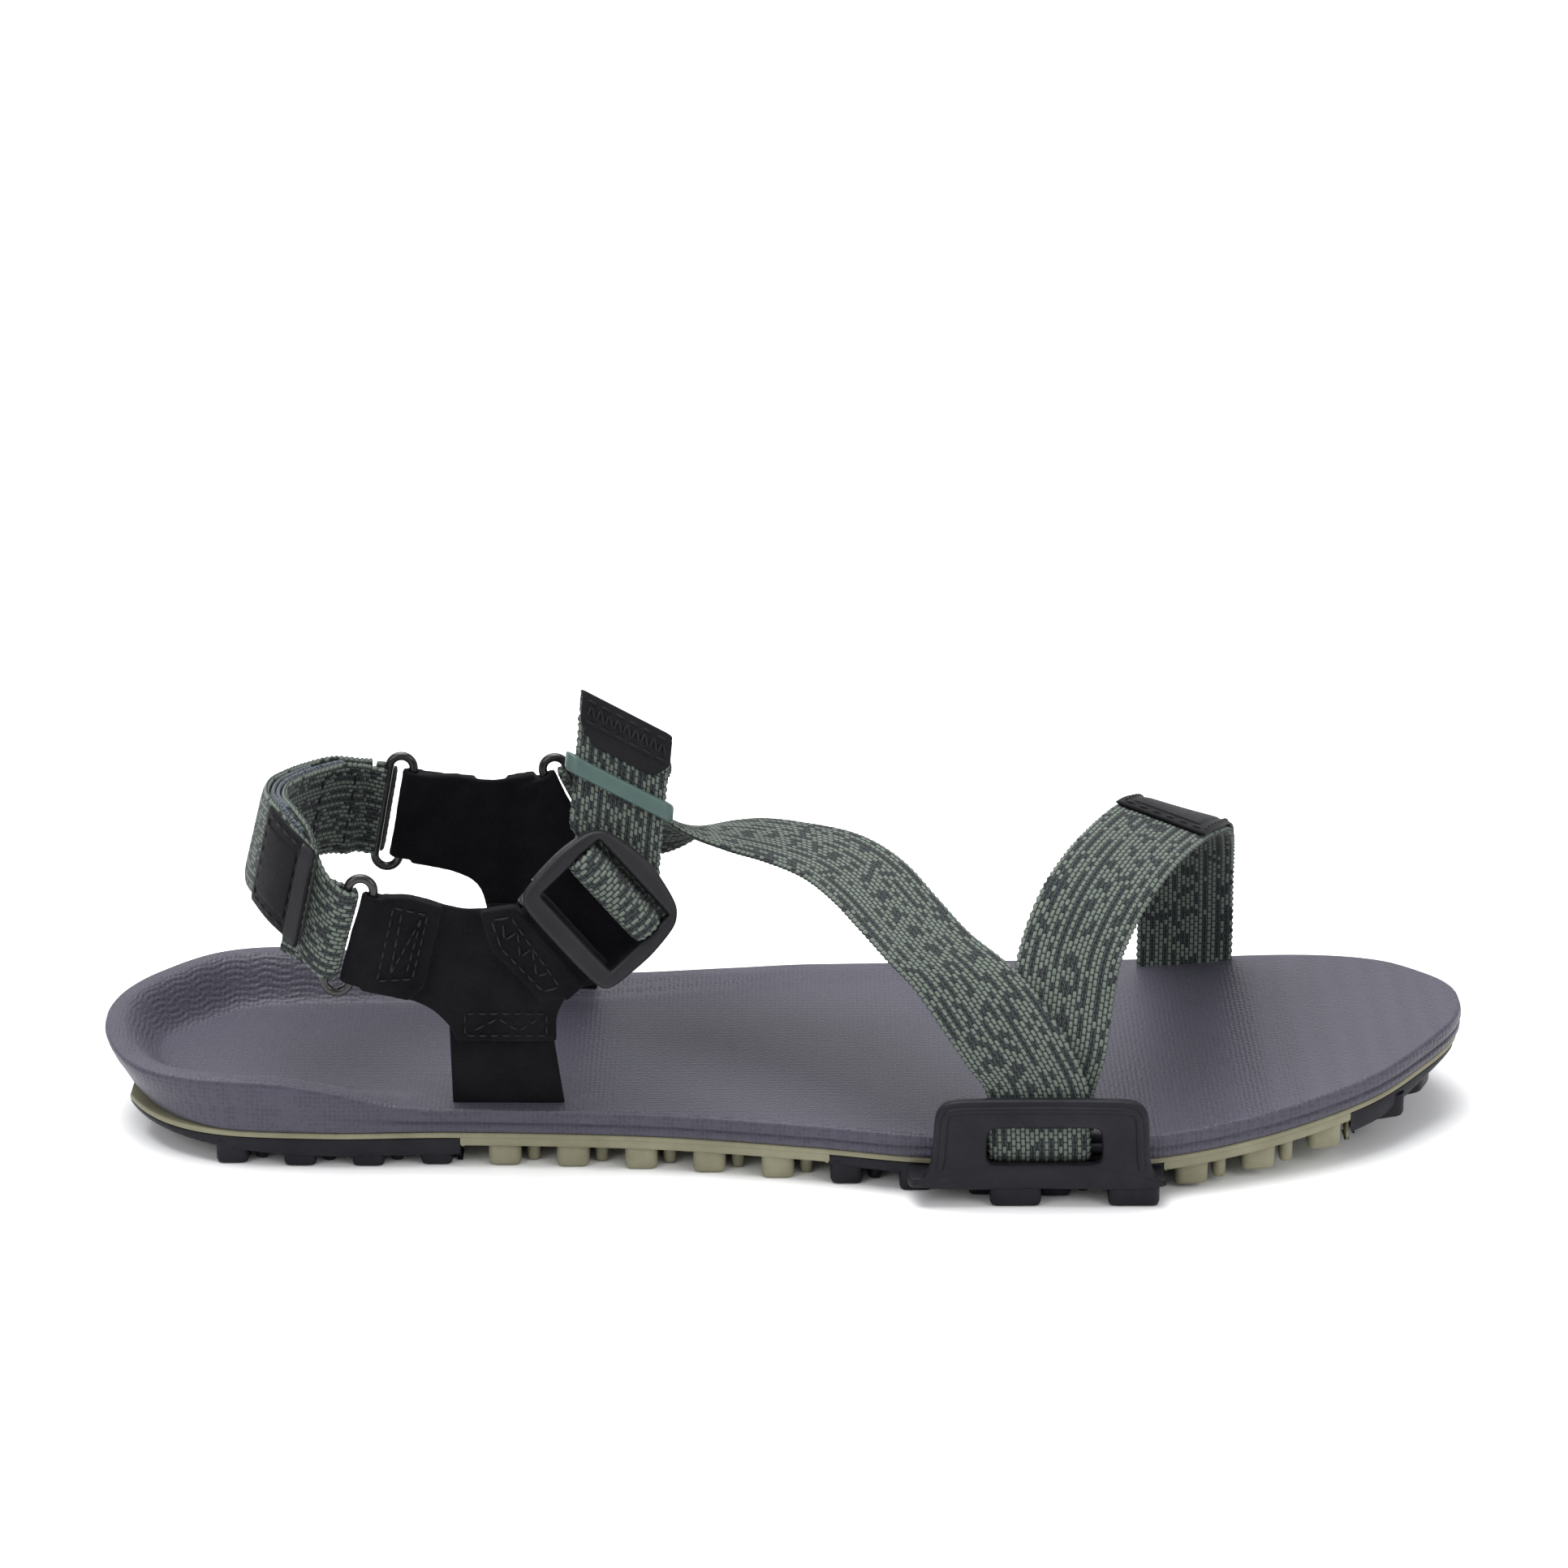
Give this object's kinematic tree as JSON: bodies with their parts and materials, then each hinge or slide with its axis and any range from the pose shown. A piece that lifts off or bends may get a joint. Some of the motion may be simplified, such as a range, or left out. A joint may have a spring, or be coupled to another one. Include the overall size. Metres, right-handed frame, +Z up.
{
  "type": "strappy sport sandal",
  "caption": "Flat-soled sport sandal with lugged rubber outsole, foam footbed with heel cup, webbing straps over forefoot, instep, ankle and heel, suede yokes, wire rings and a slide buckle.",
  "frame": {"origin": "on the ground, under the middle of the sole's length and near its centre line", "axes": "+X points to the toe, +Y to the inner (medial) side, +Z up; a right sandal"},
  "size_m": [0.2736, 0.1047, 0.0943],
  "materials": {
    "footbed_foam": "soft foam with a fine dimpled grain",
    "olive_rubber": "matte moulded rubber",
    "black_rubber": "matte moulded rubber",
    "black_suede": "short nap microfibre suede",
    "green_webbing": "heathered flat-woven webbing",
    "blue_grey_pile": "hook and loop pile",
    "black_wire": "glossy black",
    "black_plastic": "moulded, satin",
    "sage_rubber": "smooth rubber",
    "black_patch": "moulded patch, blank"
  },
  "bodies": {
    "sandal": {"footbed": "footbed_foam", "outsole_olive": "olive_rubber", "outsole_heel_pad": "black_rubber", "outsole_ball_pad": "black_rubber", "outsole_toe_pad": "black_rubber", "lateral_leg": "black_suede", "lateral_yoke": "black_suede", "medial_leg": "black_suede", "medial_yoke": "black_suede", "buckle_backing": "black_suede", "lateral_heel_ring": "black_wire", "medial_heel_ring": "black_wire", "medial_instep_ring": "black_wire", "forefoot_strap": "green_webbing", "forefoot_label": "black_patch", "instep_strap": "green_webbing", "ankle_strap_medial": "green_webbing", "heel_strap": "green_webbing", "heel_strap_pile": "blue_grey_pile"},
    "heel_flap": {"heel_flap": "green_webbing", "heel_flap_hooks": "blue_grey_pile", "pull_tab": "black_patch", "pull_tab_edge": "black_patch"},
    "buckle": {"buckle": "black_plastic", "ankle_strap_lateral": "green_webbing"},
    "tail": {"strap_tail": "green_webbing", "tail_end_tab": "black_suede"},
    "keeper": {"keeper_loop": "sage_rubber"}
  },
  "joints": [
    {"name": "heel_flap_peel", "type": "hinge", "parent": "sandal", "child": "heel_flap", "pos_m": [-0.08256, 0.032, 0.05226], "axis": [-0.183, 0, -0.9831], "range_deg": [0, 90]},
    {"name": "buckle_tilt", "type": "hinge", "parent": "sandal", "child": "buckle", "pos_m": [-0.04306, -0.02965, 0.04703], "axis": [0.6521, 0, -0.7581], "range_deg": [0, 12]},
    {"name": "tail_pull", "type": "slide", "parent": "buckle", "child": "tail", "axis": [0.0943, 0.2263, 0.9695], "range_m": [0, 0.02]},
    {"name": "keeper_slide", "type": "slide", "parent": "buckle", "child": "keeper", "axis": [0.0943, 0.2263, 0.9695], "range_m": [-0.004, 0.001]}
  ]
}
